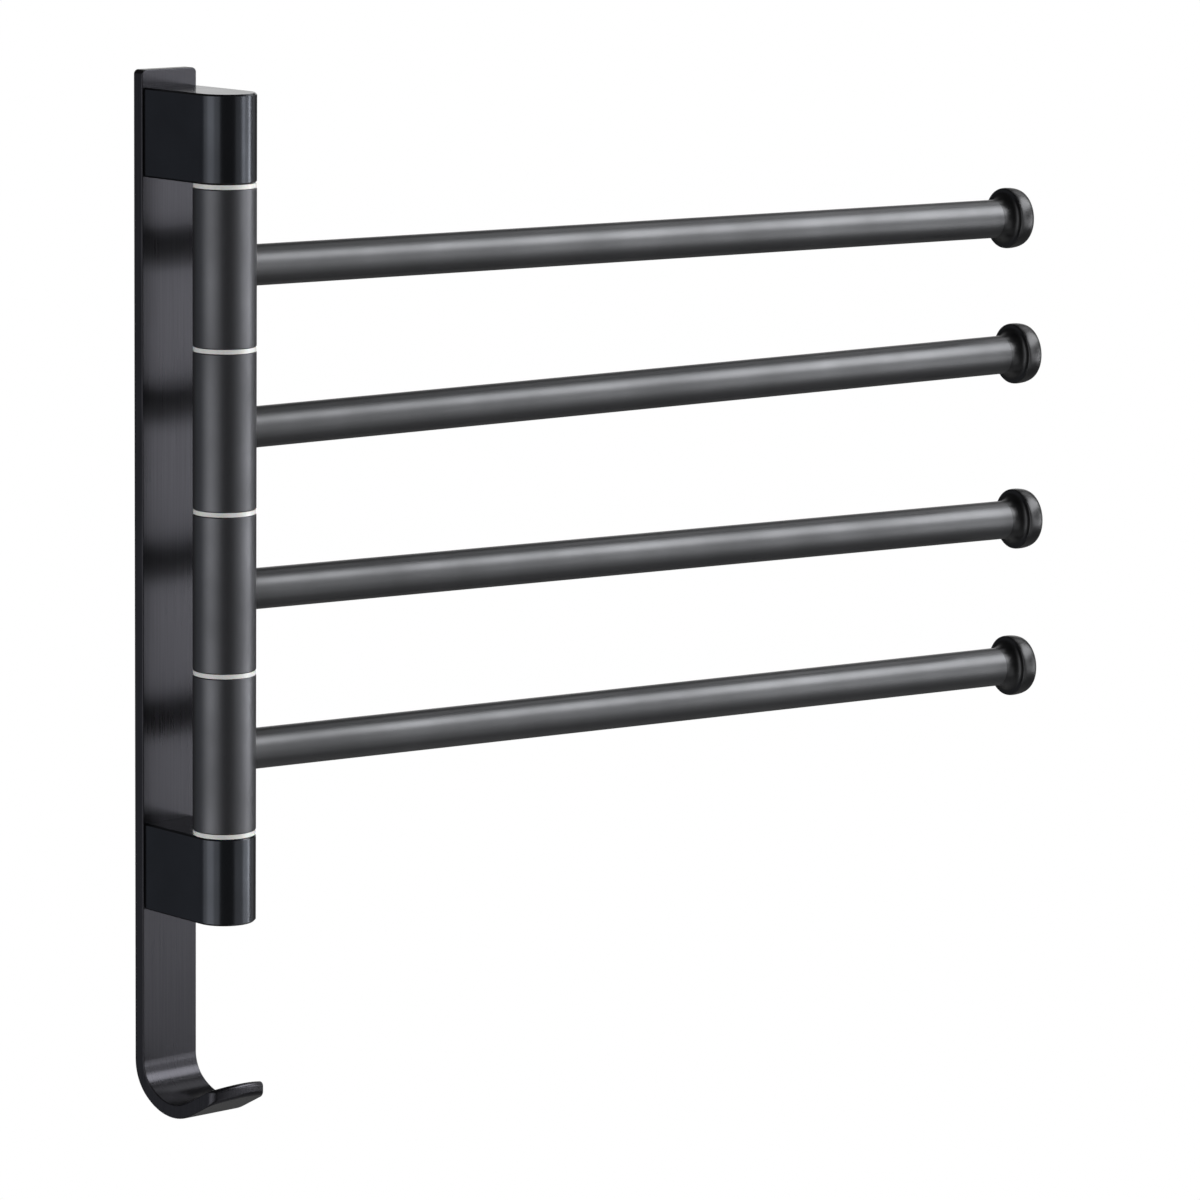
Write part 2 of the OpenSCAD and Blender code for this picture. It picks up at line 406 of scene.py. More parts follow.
@dataclass(frozen=True)
class Anodised:
    """Black anodised aluminium in one of its textures."""

    colour: Colour
    worn: Colour
    roughness: float
    roughness_swing: float
    cloud_size: float
    grain_size: float
    grain_depth: float
    metal: float = 0.92
    dark_share: float = 0.8
    edge_width: float = 0.25 * MM
    edge_share: float = 0.35

    def coated(self, name: str) -> Bench:
        """Starts the finish with its colour, gloss and worn edges.

        Args:
            name: Name of the material.

        Returns:
            The bench on which the material is made.
        """
        bench = Bench(name)
        bench.shade("Metallic", self.metal)
        cloud = bench.cloud(self.cloud_size)
        bench.roughen(cloud, self.roughness, self.roughness_swing)
        darker = tuple(self.dark_share * part for part in self.colour)
        base = bench.blend(bench.spread(cloud, 0.0, 1.0), self.colour, darker)
        patches = bench.spread(cloud, 0.0, self.edge_share)
        worn = bench.math("MULTIPLY", bench.edges(self.edge_width), patches)
        bench.shade("Base Color", bench.blend(worn, base, self.worn))
        return bench

    def grained(self, bench: Bench, below: object = None) -> bpy.types.Material:
        """Ends the finish with its even, fine grain.

        Args:
            bench: The bench on which the material is made.
            below: A coarser relief that the grain lies on.

        Returns:
            The material.
        """
        grain = bench.cloud(self.grain_size, GRAIN_DETAIL)
        bench.shade("Normal", bench.bump(grain, self.grain_depth, below))
        return bench.material

    def blasted(self, name: str) -> bpy.types.Material:
        """Makes the finish with its grain alone.

        Args:
            name: Name of the material.

        Returns:
            The material.
        """
        return self.grained(self.coated(name))

    def lathe(self, name: str, axis: Axis, pitch: float, depth: float) -> bpy.types.Material:
        """Makes the finish with the rings of a lathe under its grain.

        Args:
            name: Name of the material.
            axis: The line that the rings go round.
            pitch: Distance between rings.
            depth: Depth of the rings.

        Returns:
            The material.
        """
        bench = self.coated(name)
        return self.grained(bench, bench.bump(bench.turned(axis, pitch), depth))

    def tube(self, name: str, axis: Axis, pitch: float, run: float,
             depth: float) -> bpy.types.Material:
        """Makes the finish of a drawn tube, with faint lines along it.

        Args:
            name: Name of the material.
            axis: The tube's own axis.
            pitch: Distance between lines.
            run: Length of a line.
            depth: Depth of the lines.

        Returns:
            The material.
        """
        bench = self.coated(name)
        return self.grained(bench, bench.bump(bench.drawn(axis, pitch, run), depth))


@dataclass(frozen=True)
class BrushedStrip:
    """Black anodised strip, brushed along its length and round its hook."""

    colour: Colour
    pale: Colour
    roughness: float
    roughness_swing: float
    metal: float
    stretch: float
    grain_pitch: float
    grain_run: float
    grain_depth: float
    streak_pitch: float
    streak_run: float
    cloud_size: float
    cloud_share: float = 0.5

    def sideways(self, bench: Bench, normal: bpy.types.NodeSocket) -> bpy.types.NodeSocket:
        """Finds how far the surface faces to the left or right.

        Args:
            bench: The material that is made.
            normal: The surface's normal.

        Returns:
            A mask, 0 on the faces and 1 on the two narrow edges.
        """
        parts = bench.fill(bench.node("ShaderNodeSeparateXYZ"), normal)
        return bench.math("ABSOLUTE", parts.outputs["X"])

    def streaks(self, bench: Bench, pitch: float, run: float) -> bpy.types.NodeSocket:
        """Adds streaks along the strip, on its faces and on its edges.

        Args:
            bench: The material that is made.
            pitch: Distance between streaks.
            run: Length of a streak.

        Returns:
            The streaks, from 0 to 1.
        """
        layers = []
        for size in ((pitch, run, run), (run, pitch, run)):
            at = bench.vector("DIVIDE", bench.place, Vector(size)).outputs["Vector"]
            layers.append(bench.noise(at, LINE_DETAIL, LINE_ROUGHNESS))
        normal = bench.node("ShaderNodeTexCoord").outputs["Normal"]
        return bench.mix(self.sideways(bench, normal), *layers)

    def across_grain(self, bench: Bench) -> bpy.types.NodeSocket:
        """Finds the direction across the grain, along which reflections spread.

        Args:
            bench: The material that is made.

        Returns:
            A vector: x on the faces, y on the two narrow edges.
        """
        normal = bench.node("ShaderNodeNewGeometry").outputs["Normal"]
        side = self.sideways(bench, normal)
        return bench.joined(bench.math("SUBTRACT", 1.0, side), side)

    def material(self, name: str) -> bpy.types.Material:
        """Makes the finish.

        Args:
            name: Name of the material.

        Returns:
            The material.
        """
        bench = Bench(name)
        bench.shade("Metallic", self.metal)
        bench.shade("Anisotropic", self.stretch)
        streaks = self.streaks(bench, self.streak_pitch, self.streak_run)
        cloud = bench.cloud(self.cloud_size)
        part = bench.math("MULTIPLY", streaks, 1 - self.cloud_share)
        both = bench.math("MULTIPLY_ADD", cloud, self.cloud_share, part)
        bench.roughen(both, self.roughness, self.roughness_swing)
        bench.paint(streaks, self.colour, self.pale)
        bench.shade("Tangent", self.across_grain(bench))
        grain = self.streaks(bench, self.grain_pitch, self.grain_run)
        bench.shade("Normal", bench.bump(grain, self.grain_depth))
        return bench.material


@dataclass(frozen=True)
class Nylon:
    """Moulded nylon, a little translucent."""

    colour: Colour
    stained: Colour
    roughness: float
    glow: float
    cloud_size: float
    grain_size: float
    grain_depth: float
    roughness_swing: float = 0.06
    glow_depth: float = 0.4 * MM

    def material(self, name: str) -> bpy.types.Material:
        """Makes the finish.

        Args:
            name: Name of the material.

        Returns:
            The material.
        """
        bench = Bench(name)
        bench.shade("Subsurface Weight", self.glow)
        bench.shade("Subsurface Scale", self.glow_depth)
        cloud = bench.cloud(self.cloud_size)
        bench.paint(cloud, self.colour, self.stained)
        bench.roughen(cloud, self.roughness, self.roughness_swing)
        grain = bench.cloud(self.grain_size, GRAIN_DETAIL)
        bench.shade("Normal", bench.bump(grain, self.grain_depth))
        return bench.material


@dataclass(frozen=True)
class TurnedSteel:
    """Bright stainless steel with the marks of turning."""

    colour: Colour
    dull: Colour
    roughness: float
    roughness_swing: float
    cloud_size: float
    pitch: float
    depth: float

    def material(self, name: str, axis: Axis) -> bpy.types.Material:
        """Makes the finish round an axis.

        Args:
            name: Name of the material.
            axis: The line that the marks go round.

        Returns:
            The material.
        """
        bench = Bench(name)
        bench.shade("Metallic", 1.0)
        cloud = bench.cloud(self.cloud_size)
        bench.paint(cloud, self.colour, self.dull)
        bench.roughen(cloud, self.roughness, self.roughness_swing)
        bench.shade("Normal", bench.bump(bench.turned(axis, self.pitch), self.depth))
        return bench.material


STRIP_FINISH = BrushedStrip(
    colour=(0.0350, 0.0347, 0.0402), pale=(0.0445, 0.0442, 0.0506), roughness=0.29,
    roughness_swing=0.03, metal=0.92, stretch=0.68, grain_pitch=0.22 * MM, grain_run=14 * MM,
    grain_depth=0.0025 * MM, streak_pitch=0.6 * MM, streak_run=45 * MM, cloud_size=30 * MM)
SATIN_FINISH = Anodised(
    colour=(0.102, 0.104, 0.113), worn=(0.17, 0.17, 0.178), roughness=0.41,
    roughness_swing=0.03, cloud_size=26 * MM, grain_size=0.28 * MM, grain_depth=0.003 * MM)
GLOSS_FINISH = Anodised(
    colour=(0.0475, 0.051, 0.059), worn=(0.11, 0.113, 0.12), roughness=0.22,
    roughness_swing=0.02, cloud_size=18 * MM, grain_size=1.6 * MM, grain_depth=0.0010 * MM)
BAR_FINISH = Anodised(
    colour=(0.0983, 0.0998, 0.1048), worn=(0.16, 0.16, 0.165), roughness=0.38,
    roughness_swing=0.03, cloud_size=26 * MM, grain_size=0.28 * MM, grain_depth=0.003 * MM)
CAP_FINISH = Anodised(
    colour=(0.049, 0.0495, 0.0515), worn=(0.061, 0.062, 0.065), roughness=0.34,
    roughness_swing=0.015, cloud_size=14 * MM, grain_size=0.3 * MM, grain_depth=0.0008 * MM)
WASHER_FINISH = Nylon(
    colour=(0.86, 0.86, 0.85), stained=(0.76, 0.76, 0.74), roughness=0.28, glow=0.15,
    cloud_size=6 * MM, grain_size=0.5 * MM, grain_depth=0.003 * MM)
BUSH_FINISH = Nylon(
    colour=(0.72, 0.71, 0.67), stained=(0.60, 0.59, 0.55), roughness=0.55, glow=0.10,
    cloud_size=8 * MM, grain_size=0.4 * MM, grain_depth=0.004 * MM)
STEEL_FINISH = TurnedSteel(
    colour=(0.58, 0.59, 0.61), dull=(0.42, 0.43, 0.45), roughness=0.28, roughness_swing=0.06,
    cloud_size=9 * MM, pitch=0.18 * MM, depth=0.004 * MM)


def dress(node: str, material: bpy.types.Material) -> None:
    """Gives a node of the frame its finish.

    Args:
        node: Name of the node.
        material: The finish.
    """
    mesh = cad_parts[node].data
    mesh.materials.clear()
    mesh.materials.append(material)
    log.info("%s: %s", node, material.name)


def middle(node: str) -> Vector:
    """Gives the middle of a node's box.

    Args:
        node: Name of the node.

    Returns:
        The point halfway between its corners.
    """
    low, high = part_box(node)
    return (low + high) / 2


@dataclass
class WallStrip:
    """Flat strip on the wall, whose foot is bent forward into a robe hook.

    Turns, rises and steps of a bend are in degrees, and inset counts from the plain faces.
    """

    width: float = 21.5 * MM
    thick: float = 4.4 * MM
    top: float = 136.6 * MM
    hook_start: float = -180.5 * MM
    root_radius: float = 10 * MM
    root_turn: float = 51.0
    bowl_radius: float = 17.2 * MM
    tip_rise: float = 28.0
    reach: float = 42.6 * MM
    corner: float = 1.6 * MM
    tip_corner: float = 1.8 * MM
    tip_bow: float = 20 * MM
    tip_upper_round: float = 1.2 * MM
    tip_lower_round: float = 2.2 * MM
    ease: float = 0.4 * MM
    bend_step: float = 3.0
    corner_steps: int = 8
    bow_steps: int = 8
    even_share: float = 0.9
    cut_over: float = 1 * MM
    fit: float = 0.1 * MM
    clip_flare: float = 1.5 * MM
    pocket_spare: float = 0.6 * MM
    screw_radius: float = 2 * MM
    screw_head_radius: float = 4 * MM
    screw_sink: float = 0.2 * MM
    lock_radius: float = 1.25 * MM
    round_sides: int = 48

    def arc(self, centre: Point, radius: float, start: float, end: float) -> list[Point]:
        """Lays points on one bend of the side view.

        Args:
            centre: The bend's centre, as y and z.
            radius: Its radius.
            start: First angle in degrees, counted from +y down.
            end: Last angle.

        Returns:
            The points as y and z.
        """
        count = math.ceil(abs(end - start) / self.bend_step)
        y, z = centre
        angles = [math.radians(start + (end - start) * k / count) for k in range(count + 1)]
        return [(y + radius * math.cos(a), z - radius * math.sin(a)) for a in angles]

    def fillet(self, before: Vector, corner: Vector, after: Vector,
               radius: float) -> list[Point]:
        """Rounds one corner of the side view.

        Args:
            before: A point on the line that leads to the corner.
            corner: The sharp corner.
            after: A point on the line that leaves it.
            radius: The rounding's radius.

        Returns:
            The points as y and z.
        """
        back, ahead = (before - corner).normalized(), (after - corner).normalized()
        half = back.angle(ahead) / 2
        centre = corner + (back + ahead).normalized() * radius / math.sin(half)
        start, end = (corner + way * radius / math.tan(half) - centre for way in (back, ahead))
        shares = [k / self.corner_steps for k in range(self.corner_steps + 1)]
        return [tuple(centre + radius * start.lerp(end, share).normalized()) for share in shares]

    def side_view(self, inset: float, reach: float, top: float) -> list[Point]:
        """Draws the outline of the strip and its hook in one slice across its width.

        Args:
            inset: How far the faces are drawn in, to ease the strip's long edges.
            reach: How far the hook's tip stands off the wall.
            top: Height of the top.

        Returns:
            The outline's points as y and z, from the top of the front face down.
        """
        turn, end = math.radians(self.root_turn), 90 + self.tip_rise
        gap = self.bowl_radius - self.root_radius
        root = (-(self.thick + self.root_radius), self.hook_start)
        bowl = (root[0] - gap * math.cos(turn), root[1] + gap * math.sin(turn))
        inner = self.arc(root, self.root_radius + inset, 0, self.root_turn)
        inner += self.arc(bowl, self.bowl_radius + inset, self.root_turn, end)[1:]
        outer = self.arc(bowl, self.bowl_radius + self.thick - inset, end, self.root_turn)
        outer += self.arc(root, self.root_radius + self.thick - inset, self.root_turn, 0)[1:]
        rise = math.tan(math.radians(self.tip_rise))
        upper, lower = (Vector((-reach, z + (y + reach) * rise)) for y, z in (inner[-1], outer[0]))
        front, back = Vector((inset - self.thick, top)), Vector((-inset, top))
        return [
            *self.fillet(back, front, Vector(inner[0]), self.ease), *inner,
            *self.fillet(Vector(inner[-1]), upper, lower, self.tip_upper_round),
            *self.fillet(upper, lower, Vector(outer[0]), self.tip_lower_round), *outer,
            *self.fillet(Vector(outer[-1]), back, front, self.ease)]

    def slices(self) -> list[float]:
        """Places the slices across the strip's width, closer where it is rounded.

        Returns:
            Their x, from one edge to the other.
        """
        half, steps = self.width / 2, self.corner_steps
        spots = {half * self.even_share * k / self.bow_steps for k in range(self.bow_steps)}
        angles = [math.radians(90 * k / steps) for k in range(steps + 1)]
        for radius in (self.ease, self.corner, self.tip_corner):
            spots |= {half - radius + radius * math.sin(a) for a in angles}
        right = sorted(round(x, 6) for x in spots)
        return sorted({*right, *(-x for x in right)})

    def blank(self) -> bmesh.types.BMesh:
        """Builds the strip with round corners and eased edges, before any hole.

        Returns:
            The mesh.
        """
        def drawn_in(x: float, radius: float) -> float:
            """Gives how far a quarter round of this radius draws in at x."""
            past = min(max(0.0, abs(x) - (self.width / 2 - radius)), radius)
            return radius - math.sqrt(radius * radius - past * past)

        shape = bmesh.new()
        rows = []
        for x in self.slices():
            reach = self.reach - drawn_in(x, self.tip_corner) - x * x / (2 * self.tip_bow)
            top = self.top - drawn_in(x, self.corner)
            rows.append([(x, y, z) for y, z in self.side_view(drawn_in(x, self.ease), reach, top)])
        skin(shape, rows)
        bmesh.ops.recalc_face_normals(shape, faces=shape.faces)
        return shape

    def prism(self, shape: bmesh.types.BMesh, outline: list[Point], low: float,
              high: float) -> None:
        """Adds an upright cutter with the given plan.

        Args:
            shape: The mesh that holds the cutters.
            outline: The plan's corners as x and y.
            low: Height of its foot.
            high: Height of its top.
        """
        skin(shape, [[(x, y, z) for x, y in outline] for z in (low, high)])

    def cut_clip(self, shape: bmesh.types.BMesh, clip: str) -> None:
        """Adds the undercut slot of a wall clip and the open pocket under it.

        Args:
            shape: The mesh that holds the cutters.
            clip: The clip's node.
        """
        low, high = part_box(clip)
        wide, deep, tall = high.x + self.fit, -low.y + self.fit, high.z - low.z
        narrow, behind = wide - self.clip_flare, self.cut_over
        seam, foot = low.z - self.pocket_spare / 2, low.z - tall - 2 * self.pocket_spare
        slot = [(-narrow, behind), (-narrow, 0), (-wide, -deep),
                (wide, -deep), (narrow, 0), (narrow, behind)]
        self.prism(shape, slot, seam, high.z + self.fit / 2)
        pocket = [(-wide, behind), (-wide, -deep), (wide, -deep), (wide, behind)]
        self.prism(shape, pocket, foot, seam)

    def cutters(self) -> bmesh.types.BMesh:
        """Builds all that is cut from the back of the strip.

        Returns:
            One mesh of separate closed cutters.
        """
        shape = bmesh.new()
        for clip in ("upper_wall_clip", "lower_wall_clip"):
            self.cut_clip(shape, clip)
        bore, head = self.screw_radius + self.fit, self.screw_head_radius + self.fit
        cone = self.screw_head_radius - self.screw_radius
        profile = [(head, -self.cut_over), (head, self.screw_sink), (bore, self.screw_sink + cone),
                   (bore, self.thick + self.cut_over)]
        turn = Matrix.Rotation(math.radians(90), 4, "X")
        for node in ("upper_bracket_screws", "lower_bracket_screws"):
            low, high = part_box(node)
            for z in (low.z + self.screw_head_radius, high.z - self.screw_head_radius):
                spin(shape, profile, Matrix.Translation((0, 0, z)) @ turn, self.round_sides)
        low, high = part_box("clip_lock_screw")
        ring = [(self.lock_radius, 0.0), (self.lock_radius, self.width)]
        start = (low.x - self.clip_flare, -self.thick / 2, (low.z + high.z) / 2)
        turn = Matrix.Rotation(math.radians(90), 4, "Y")
        spin(shape, ring, Matrix.Translation(start) @ turn, self.round_sides)
        bmesh.ops.recalc_face_normals(shape, faces=shape.faces)
        return shape

    def build(self) -> bpy.types.Object:
        """Builds the strip and puts it in the place of the plain one.

        Returns:
            The finished piece.
        """
        strip = as_object("wall_strip", self.blank())
        cutter = as_object("strip_cutters", self.cutters())
        cut = strip.modifiers.new("cut", "BOOLEAN")
        cut.operation = "DIFFERENCE"
        cut.solver = "EXACT"
        cut.use_self = True
        cut.object = cutter
        settle(strip)
        bpy.data.objects.remove(cutter)
        strip.data.materials.append(STRIP_FINISH.material("strip brushed black"))
        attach(strip, "root")
        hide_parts("back_plate")
        log.info("wall_strip: %d faces", len(strip.data.polygons))
        return strip


def as_object(name: str, shape: bmesh.types.BMesh) -> bpy.types.Object:
    """Turns a bmesh into an object in the scene.

    Args:
        name: Name of the object.
        shape: The mesh, which is freed.

    Returns:
        The object, shaded smooth.
    """
    mesh = bpy.data.meshes.new(name)
    shape.to_mesh(mesh)
    shape.free()
    for polygon in mesh.polygons:
        polygon.use_smooth = True
    made = bpy.data.objects.new(name, mesh)
    bpy.context.scene.collection.objects.link(made)
    return made


def skin(shape: bmesh.types.BMesh, rings: list[list[Place]]) -> None:
    """Adds a closed solid through rings of points.

    Args:
        shape: The mesh that it is added to.
        rings: The points of each ring, from one end of the solid to the other.
    """
    rows = [[shape.verts.new(point) for point in ring] for ring in rings]
    shape.faces.new(rows[0])
    shape.faces.new(rows[-1][::-1])
    for near, far in zip(rows, rows[1:]):
        for k in range(len(near)):
            after = (k + 1) % len(near)
            shape.faces.new((near[after], near[k], far[k], far[after]))


def spin(shape: bmesh.types.BMesh, profile: list[Point], place: Matrix, sides: int) -> None:
    """Adds a closed round solid.

    Args:
        shape: The mesh that it is added to.
        profile: Radius and height of each ring, from the foot to the top.
        place: Where it stands.
        sides: Number of sides round it.
    """
    turns = [2 * math.pi * k / sides for k in range(sides)]
    skin(shape, [[place @ Vector((r * math.cos(a), r * math.sin(a), h)) for a in turns]
                 for r, h in profile])


def evaluated(piece: bpy.types.Object) -> bpy.types.Mesh:
    """Takes the mesh that a piece's modifiers make.

    Args:
        piece: The piece.

    Returns:
        A mesh of its own.
    """
    bpy.context.view_layer.update()
    graph = bpy.context.evaluated_depsgraph_get()
    return bpy.data.meshes.new_from_object(
        piece.evaluated_get(graph), preserve_all_data_layers=True, depsgraph=graph)


def settle(piece: bpy.types.Object) -> None:
    """Applies a piece's modifiers, and weights its normals between the hard edges.

    Args:
        piece: The piece.
    """
    mesh = evaluated(piece)
    mesh.set_sharp_from_angle(angle=math.radians(SHARP_ANGLE))
    piece.modifiers.clear()
    piece.data = mesh
    flow = piece.modifiers.new("flow", "WEIGHTED_NORMAL")
    flow.keep_sharp = True
    mesh = evaluated(piece)
    piece.modifiers.clear()
    piece.data = mesh


@dataclass
class Brackets:
    """The two gloss brackets that hold the pivot, and their screws."""

    screw_pitch: float = 14 * MM

    def finish(self) -> None:
        """Dresses the brackets and the two screws of each."""
        gloss = GLOSS_FINISH.blasted("bracket gloss black")
        for side in ("upper", "lower"):
            dress(f"{side}_bracket", gloss)
            screws = f"{side}_bracket_screws"
            axis = Axis(middle(screws) + self.screw_pitch / 2 * UP, INWARD)
            dress(screws, STEEL_FINISH.material(f"{side} bracket screw steel", axis))


@dataclass
class WallFixing:
    """The hidden clips that the strip hangs on, and the screw that locks it."""

    def finish(self) -> None:
        """Dresses the clips and the lock screw."""
        for side in ("upper", "lower"):
            clip = f"{side}_wall_clip"
            axis = Axis(middle(clip), INWARD)
            dress(clip, STEEL_FINISH.material(f"{side} clip steel", axis))
        axis = Axis(middle("clip_lock_screw"), RIGHT)
        dress("clip_lock_screw", STEEL_FINISH.material("lock screw steel", axis))


@dataclass
class PivotStack:
    """The upright rod with the washers above, between and below the barrels."""

    def finish(self) -> None:
        """Dresses the rod and the washers."""
        axis = Axis(middle("pivot_rod"), UP)
        dress("pivot_rod", STEEL_FINISH.material("rod steel", axis))
        white = WASHER_FINISH.material("washer white nylon")
        for i in WASHERS:
            dress(f"washer_{i}", white)


@dataclass
class EndCap:
    """The black cap on a bar's end: a disc with a round rim, whose neck flows into the bar."""

    number: int
    along: Axis
    radius: float = 10.3 * MM
    thick: float = 6 * MM
    bar_radius: float = 6.5 * MM
    bore_radius: float = 5.3 * MM
    spigot: float = 10 * MM
    neck_rise: float = 2.6 * MM
    neck_run: float = 4.6 * MM
    neck_lip: float = 0.02 * MM
    crown: float = 1.4 * MM
    near_drop: float = 0.3 * MM
    far_drop: float = 1.3 * MM
    near_edge: float = 0.2 * MM
    edge_turn: float = 45.0
    rim_turn: float = 60.0
    seam: float = 0.01 * MM
    curve_steps: int = 12
    sides: int = 96

    def sweep(self, centre: Point, rise: float, run: float, start: float,
              end: float) -> list[Point]:
        """Draws part of an ellipse in the cap's half section.

        Args:
            centre: Radius and height of its centre.
            rise: Its half size along the radius.
            run: Its half size along the bar.
            start: First angle in degrees, from straight out to straight along the bar.
            end: Last angle in degrees.

        Returns:
            The points as radius and height.
        """
        (out, up), steps = centre, self.curve_steps
        angles = [math.radians(start + (end - start) * k / steps) for k in range(steps + 1)]
        return [(out + rise * math.cos(a), up + run * math.sin(a)) for a in angles]

    def section(self) -> list[Point]:
        """Draws the half section from the spigot's end to the cap's far face.

        Returns:
            The points as radius and height above the bar's end.
        """
        inner, outer = self.bore_radius - self.seam, self.bar_radius + self.seam
        rise, run, small = self.neck_rise, self.neck_run, self.near_edge
        neck = self.sweep((outer + rise, -run), -rise, run, 0, 90)
        lip = (outer + self.neck_lip, -run)
        neck = [lip, *(point for point in neck[1:] if point[0] > lip[0])]
        shoulder = self.radius - self.near_drop
        edge = self.sweep((shoulder - small, small), small, small, -90, self.edge_turn - 90)
        near = self.sweep((shoulder, self.crown), self.near_drop, self.crown, -self.rim_turn, 0)
        crest = (self.radius - self.far_drop, self.crown)
        far = self.sweep(crest, self.far_drop, self.thick - self.crown, 0, 90)
        root = [(inner, -self.spigot), (inner, 0), (outer, 0), (outer, -run)]
        return [*root, *neck, *edge, *near, *far[1:]]

    def build(self) -> bpy.types.Object:
        """Builds the cap and puts it in the place of the plain one.

        Returns:
            The finished piece.
        """
        node = f"end_cap_{self.number}"
        first, second = self.along.across()
        turn = Matrix((first, second, self.along.direction)).transposed().to_4x4()
        shape = bmesh.new()
        spin(shape, self.section(), Matrix.Translation(self.along.centre) @ turn, self.sides)
        bmesh.ops.recalc_face_normals(shape, faces=shape.faces)
        cap = as_object(f"round_cap_{self.number}", shape)
        settle(cap)
        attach(cap, f"arm_{self.number}")
        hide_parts(node)
        log.info("%s: %d faces", cap.name, len(cap.data.polygons))
        return cap


@dataclass
class SwingArm:
    """One arm: its barrel with two bushes, and its bar with stud and end cap."""

    number: int
    line_pitch: float = 0.3 * MM
    line_run: float = 60 * MM
    line_depth: float = 0.0012 * MM
    ring_pitch: float = 0.25 * MM
    ring_depth: float = 0.0010 * MM
    bar_length: float = 310 * MM
    bar_radius: float = 6.5 * MM
    bar_axis: Axis = field(init=False)

    def __post_init__(self) -> None:
        """Finds the bar's end and direction from the boxes of the plain bar and cap."""
        low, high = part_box(f"bar_{self.number}")
        root, cap = middle(f"barrel_{self.number}"), middle(f"end_cap_{self.number}")
        wide, deep = high.x - root.x, root.y - low.y
        length, radius = self.bar_length, self.bar_radius
        level = Vector((wide * length - deep * radius, wide * radius - deep * length, 0))
        rise = math.asin((cap.z - root.z) / (length + EndCap.thick / 2))
        along = level.normalized() * math.cos(rise) + math.sin(rise) * UP
        self.bar_axis = Axis(root + along * length, along)

    def finish(self) -> None:
        """Dresses the arm's six pieces."""
        i = self.number
        upright = Axis(middle(f"barrel_{i}"), UP)
        dress(f"barrel_{i}", SATIN_FINISH.lathe(
            f"barrel {i} satin black", upright, self.ring_pitch, self.line_depth))
        dress(f"bar_{i}", BAR_FINISH.tube(
            f"bar {i} satin black", self.bar_axis, self.line_pitch, self.line_run,
            self.line_depth))
        cap = EndCap(i, self.bar_axis).build()
        cap.data.materials.append(CAP_FINISH.lathe(
            f"cap {i} black", self.bar_axis, self.ring_pitch, self.ring_depth))
        dress(f"bar_stud_{i}", STEEL_FINISH.material(f"stud {i} steel", self.bar_axis))
        bush = BUSH_FINISH.material(f"bush {i} nylon")
        for side in ("upper", "lower"):
            dress(f"{side}_bush_{i}", bush)


@dataclass(frozen=True)
class Softbox:
    """A flat studio lamp that looks at the object.

    The azimuth is in degrees from straight before the wall to the right, the elevation in
    degrees up from level.
    """

    name: str
    azimuth: float
    elevation: float
    width: float
    height: float
    brightness: float
    tint: Colour = (1.0, 1.0, 1.0)
    distance: float = 2.2

    def hang(self, target: Vector) -> None:
        """Puts the lamp in the scene.

        Args:
            target: The point that it looks at.
        """
        lamp = bpy.data.lights.new(self.name, "AREA")
        lamp.shape = "RECTANGLE"
        lamp.size = self.width
        lamp.size_y = self.height
        lamp.color = self.tint
        lamp.energy = self.brightness * math.pi * self.width * self.height
        turn, lift = math.radians(self.azimuth), math.radians(self.elevation)
        flat = math.cos(lift)
        away = Vector((math.sin(turn) * flat, -math.cos(turn) * flat, math.sin(lift)))
        made = bpy.data.objects.new(self.name, lamp)
        made.location = target + self.distance * away
        made.rotation_euler = away.to_track_quat("Z", "Y").to_euler()
        made.visible_camera = False
        bpy.context.scene.collection.objects.link(made)
        log.info("%s at azimuth %.0f, elevation %.0f", self.name, self.azimuth, self.elevation)


LAMPS = (
    Softbox("key softbox", 56, 38, 1.87, 1.02, 6.75),
    Softbox("rim softbox", 106, 45, 0.66, 0.97, 1.44),
    Softbox("right strip light", 61, -1, 0.29, 1.14, 7.2),
    Softbox("right panel", 49, -9, 1.21, 0.66, 2.8),
    Softbox("front strip light", 30, 15, 0.48, 1.50, 3.4),
    Softbox("front low panel", 17, -22, 1.50, 1.89, 0.64),
    Softbox("side panel", 83, 12, 0.99, 2.77, 0.43),
    Softbox("left panel", -88, -6, 2.62, 2.4, 0.90),
    Softbox("left core", -91, -2, 0.99, 2.6, 0.88),
    Softbox("rear left panel", -138, -9, 1.8, 1.8, 0.12, (0.88, 0.96, 1.15)),
)


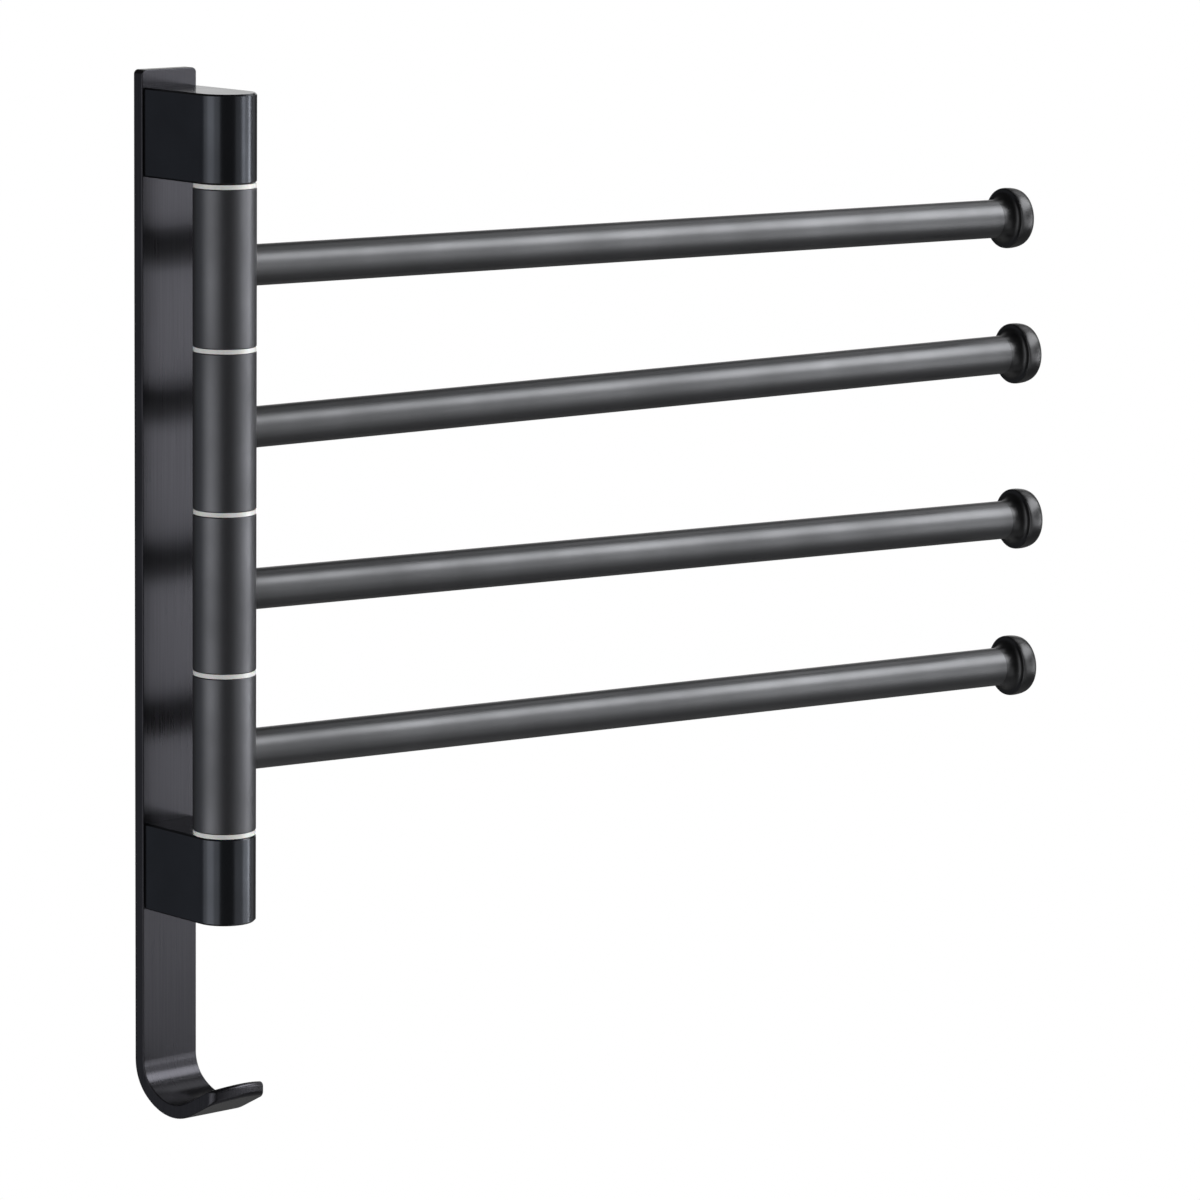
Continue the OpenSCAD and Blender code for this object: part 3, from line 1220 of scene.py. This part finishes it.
@dataclass(frozen=True)
class Studio:
    """Pale floor far under the wall-hung object, white surroundings and soft lamps."""

    floor_drop: float = 2.6
    floor_radius: float = 60.0
    floor_sides: int = 96
    floor_albedo: Colour = (0.65, 0.65, 0.65)
    floor_roughness: float = 0.9
    floor_gloss: float = 0.1
    room_fill: float = 0.13
    room_back: float = 1.0
    room_front: float = 0.06
    back_direction: Place = (0.67, 0.74, 0.0)
    back_range: tuple[float, float] = (0.86, 0.98)
    aim_share: float = 0.5

    def surroundings(self) -> None:
        """Makes the world: white to the eye, a soft room in reflections, a dim fill elsewhere."""
        world = bpy.data.worlds.new("white surroundings")
        bpy.context.scene.world = world
        world.use_nodes = True
        board = Board(world.node_tree)
        rays = board.node("ShaderNodeLightPath").outputs
        mirrored = board.math("MAXIMUM", rays["Is Glossy Ray"], rays["Is Transmission Ray"])
        way = board.node("ShaderNodeTexCoord").outputs["Generated"]
        toward = board.vector("DOT_PRODUCT", way, self.back_direction).outputs["Value"]
        room = board.ramp(toward, *self.back_range, self.room_front, self.room_back,
                          interpolation_type="SMOOTHSTEP")
        light = board.mix(mirrored, self.room_fill, room)
        shown = board.mix(rays["Is Camera Ray"], light, 1.0)
        background = board.tree.nodes["Background"]
        board.fill(background, (1.0, 1.0, 1.0, 1.0), shown)

    def floor_material(self) -> bpy.types.Material:
        """Makes the floor's finish: pale under the lamps, plain white to the eye.

        Returns:
            The material.
        """
        bench = Bench("pale floor")
        bench.shade("Base Color", (*self.floor_albedo, 1.0))
        bench.shade("Roughness", self.floor_roughness)
        bench.shade("Specular IOR Level", self.floor_gloss)
        eye = bench.node("ShaderNodeLightPath").outputs["Is Camera Ray"]
        glow = bench.node("ShaderNodeEmission").outputs[0]
        mixed = bench.fill(bench.node("ShaderNodeMixShader"), eye, bench.shader.outputs[0], glow)
        bench.fill(bench.tree.nodes["Material Output"], mixed.outputs[0])
        return bench.material

    def floor(self) -> None:
        """Lays the floor."""
        shape = bmesh.new()
        bmesh.ops.create_circle(
            shape, cap_ends=True, segments=self.floor_sides, radius=self.floor_radius)
        made = as_object("floor", shape)
        made.location = (0, 0, -self.floor_drop)
        made.data.materials.append(self.floor_material())

    def set_up(self) -> None:
        """Builds the floor, the surroundings and the lamps, which look between pivot and middle."""
        self.surroundings()
        self.floor()
        low, high = CAD_BOX
        target = (Vector(low) + Vector(high)) / 2
        target.x *= self.aim_share
        for lamp in LAMPS:
            lamp.hang(target)
        bpy.context.scene.view_settings.view_transform = "Standard"


@dataclass(frozen=True)
class PhotoCamera:
    """The photograph's viewpoint, found by fitting the pivot, the bars and the strip."""

    place: Place = (-1.15459, -1.49386, 0.28105)
    yaw: float = 41.94
    pitch: float = 9.41
    roll: float = 0.64
    sensor: float = 36.0
    lens: float = 180.0
    far: float = 200.0

    def set_up(self) -> None:
        """Makes the camera and turns it to the photograph's view."""
        data = bpy.data.cameras.new("photo camera")
        data.sensor_width = self.sensor
        data.lens = self.lens
        data.clip_end = self.far
        made = bpy.data.objects.new("photo camera", data)
        yaw, pitch, roll = (math.radians(a) for a in (self.yaw, self.pitch, self.roll))
        flat = math.cos(pitch)
        ahead = Vector((math.sin(yaw) * flat, math.cos(yaw) * flat, -math.sin(pitch)))
        level = Vector((math.cos(yaw), -math.sin(yaw), 0.0))
        above = level.cross(ahead)
        right = math.cos(roll) * level + math.sin(roll) * above
        up = -math.sin(roll) * level + math.cos(roll) * above
        turn = Matrix((right, up, -ahead)).transposed().to_4x4()
        made.matrix_world = Matrix.Translation(self.place) @ turn
        bpy.context.scene.collection.objects.link(made)
        bpy.context.scene.camera = made


def main() -> None:
    """Builds and dresses the pieces in order, then sets up the studio."""
    logging.basicConfig(level=logging.INFO, format="%(message)s")
    PhotoCamera().set_up()
    WallStrip().build()
    WallFixing().finish()
    Brackets().finish()
    PivotStack().finish()
    for number in ARMS:
        SwingArm(number).finish()
    Studio().set_up()


if __name__ == "__main__":
    main()
